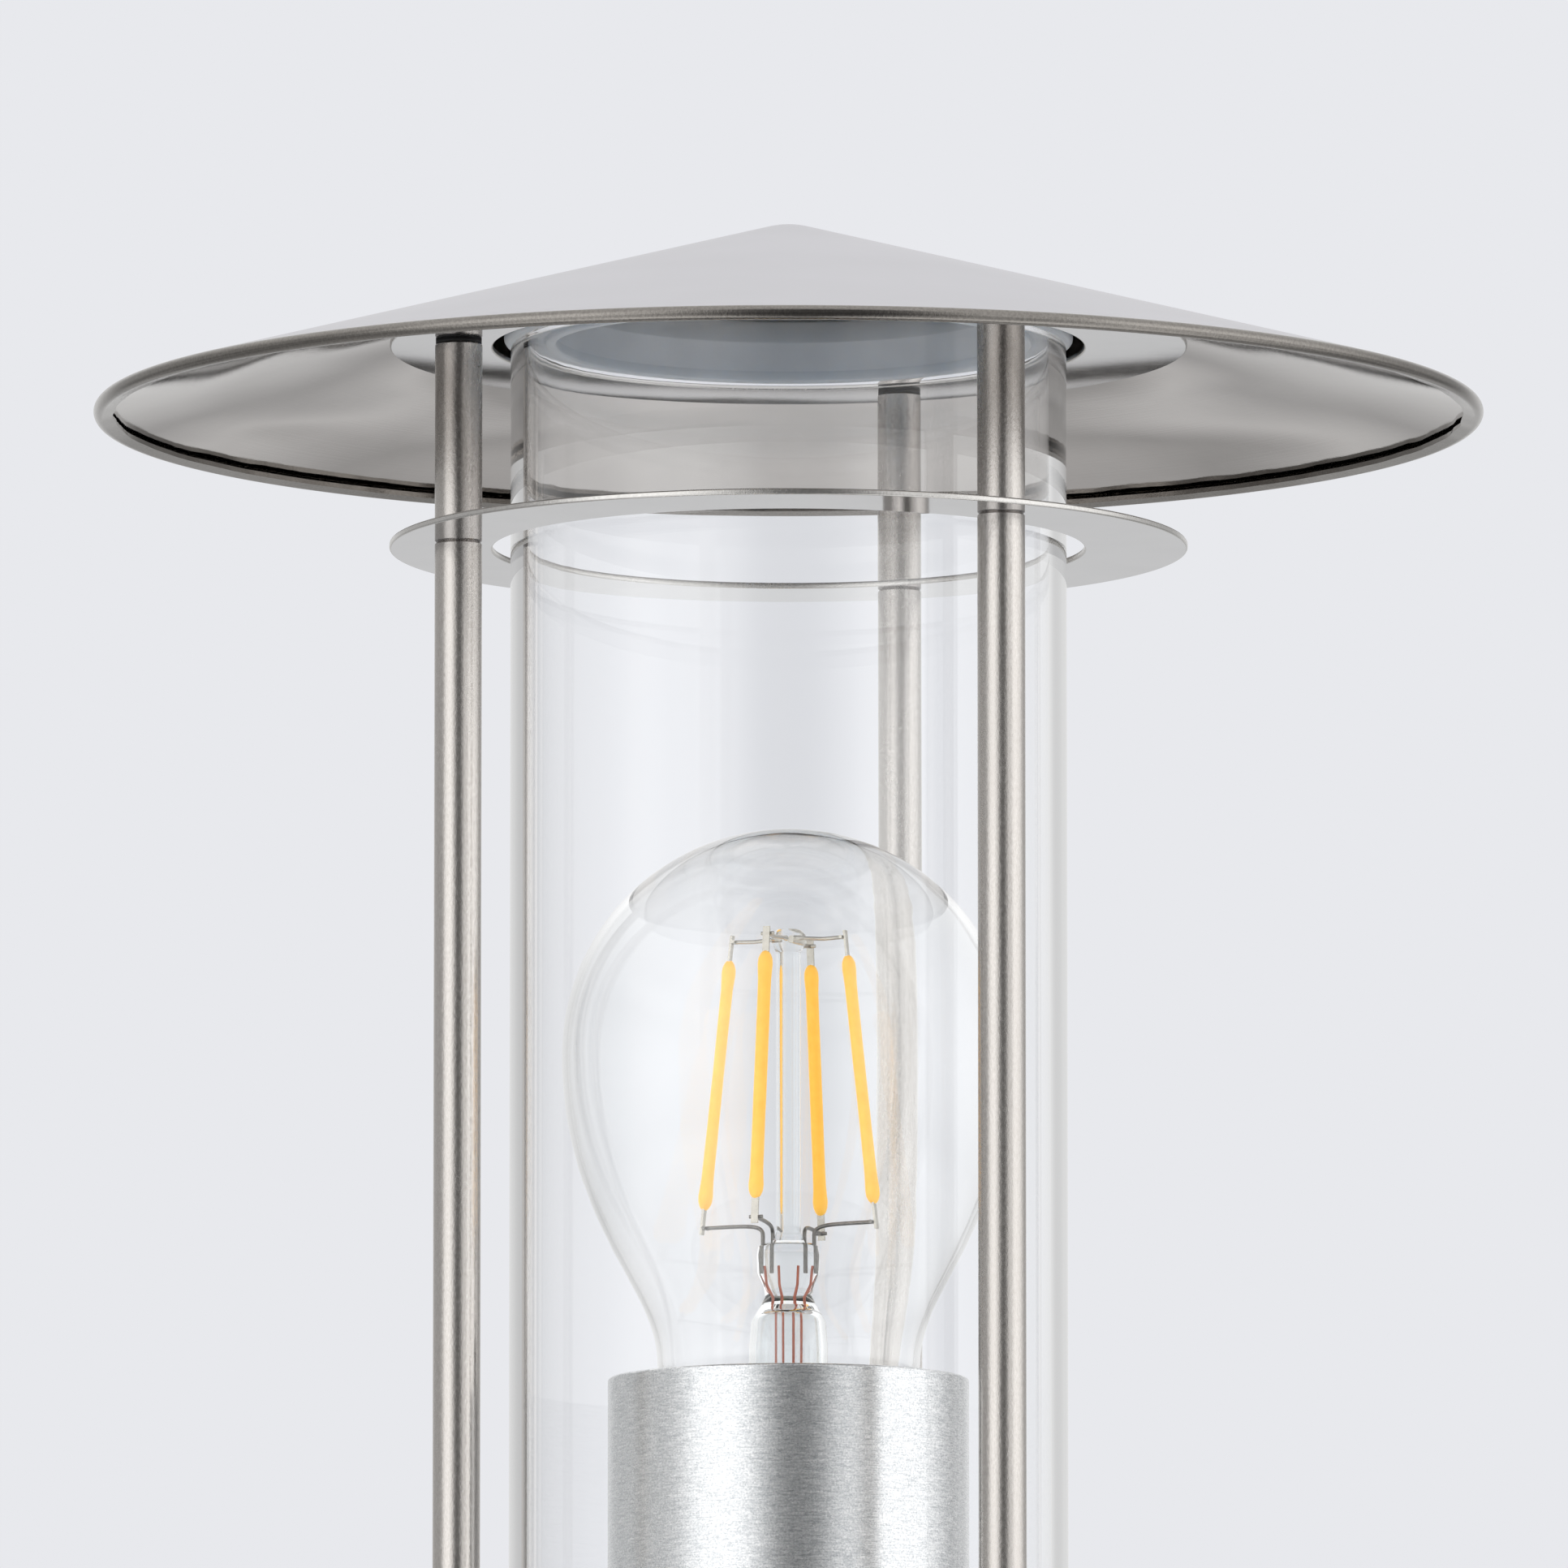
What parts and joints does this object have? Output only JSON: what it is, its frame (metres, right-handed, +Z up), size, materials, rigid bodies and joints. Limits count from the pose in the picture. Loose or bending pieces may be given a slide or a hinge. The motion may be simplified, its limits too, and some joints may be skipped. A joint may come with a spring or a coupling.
{
  "type": "pedestal lantern",
  "caption": "Stainless steel garden pedestal lantern: a conical hood on rods and rings over a clear glass tube, with a screw-in filament bulb in a silver cup.",
  "frame": {"origin": "centre of the foot on the ground, at the underside of the rubber sheet", "axes": "+Z up the pedestal, -Y the side seen from the front, with rods at 90, 210 and 330 degrees about +Z from +X"},
  "size_m": [0.185, 0.185, 0.4506],
  "materials": {
    "satin_steel": "satin stainless steel",
    "polished_steel": "mirror-polished stainless steel",
    "plated_steel": "nickel-plated",
    "black_rubber": "matt rubber",
    "milky_silicone": "milky silicone",
    "clear_glass": "clear polished glass",
    "silver_cup": "satin silver",
    "porcelain": "white glaze",
    "brass": "plain brass",
    "white_plastic": "white moulded plastic",
    "brown_plastic": "brown insulation",
    "blue_plastic": "blue insulation",
    "green_plastic": "green and yellow insulation",
    "phosphor": "orange-yellow silicone with phosphor",
    "black_insulator": "black glass insulator",
    "circuit_board": "green board with parts"
  },
  "bodies": {
    "pedestal": {"foot_gasket": "black_rubber", "foot_plate": "satin_steel", "cable_grommet": "black_rubber", "pedestal_tube": "satin_steel", "spigot": "satin_steel", "spigot_screws": "plated_steel", "terminal_bracket": "satin_steel", "bracket_nut": "plated_steel", "terminal_block": "white_plastic", "terminal_clamps": "brass", "terminal_screws": "plated_steel", "earth_screw": "brass", "live_lead": "brown_plastic", "neutral_lead": "blue_plastic", "earth_lead": "green_plastic", "base_plate": "polished_steel", "nut_washers": "satin_steel", "base_seal": "milky_silicone", "nipple": "plated_steel", "nipple_nut": "plated_steel", "holder_bracket": "satin_steel", "holder_cup": "silver_cup", "holder_body": "porcelain", "screw_shell": "brass", "centre_contact": "brass", "holder_terminals": "brass", "holder_screws": "plated_steel"},
    "glass": {"glass_tube": "clear_glass"},
    "cage": {"rod_back": "satin_steel", "rod_left": "satin_steel", "rod_right": "satin_steel", "rod_end_studs": "plated_steel", "lower_ring": "polished_steel", "joining_studs": "plated_steel", "spacer_back": "satin_steel", "spacer_left": "satin_steel", "spacer_right": "satin_steel", "rod_washers": "black_rubber", "ring_studs": "plated_steel", "upper_ring": "polished_steel", "hood_tacks": "satin_steel", "top_seal": "milky_silicone", "hood": "satin_steel"},
    "bulb": {"bulb_glass": "clear_glass", "bulb_stem": "clear_glass", "filament_1": "phosphor", "filament_2": "phosphor", "filament_3": "phosphor", "filament_4": "phosphor", "filament_strips": "plated_steel", "support_wires": "plated_steel", "lead_wires": "plated_steel", "bulb_cap": "plated_steel", "cap_insulator": "black_insulator", "cap_contact": "plated_steel", "bulb_driver": "circuit_board"},
    "nut_back": {"thumb_nut_back": "satin_steel"},
    "nut_left": {"thumb_nut_left": "satin_steel"},
    "nut_right": {"thumb_nut_right": "satin_steel"}
  },
  "joints": [
    {"name": "cage_lift", "type": "slide", "parent": "pedestal", "child": "cage", "axis": [0, 0, 1], "range_m": [0, 0.43]},
    {"name": "glass_lift", "type": "slide", "parent": "pedestal", "child": "glass", "axis": [0, 0, 1], "range_m": [0, 0.215]},
    {"name": "bulb_turn", "type": "hinge", "parent": "pedestal", "child": "bulb", "pos_m": [0, 0, 0.2642], "axis": [0, 0, 1], "range_deg": [0, 1080]},
    {"name": "nut_back_turn", "type": "hinge", "parent": "pedestal", "child": "nut_back", "pos_m": [0, 0.04435, 0.2272], "axis": [0, 0, -1], "range_deg": [0, 4860]},
    {"name": "nut_left_turn", "type": "hinge", "parent": "pedestal", "child": "nut_left", "pos_m": [-0.03841, -0.02218, 0.2272], "axis": [0, 0, -1], "range_deg": [0, 4860]},
    {"name": "nut_right_turn", "type": "hinge", "parent": "pedestal", "child": "nut_right", "pos_m": [0.03841, -0.02218, 0.2272], "axis": [0, 0, -1], "range_deg": [0, 4860]}
  ],
  "couplings": [
    {"joint": "glass_lift", "follows": "cage_lift", "ratio": 0.5}
  ]
}
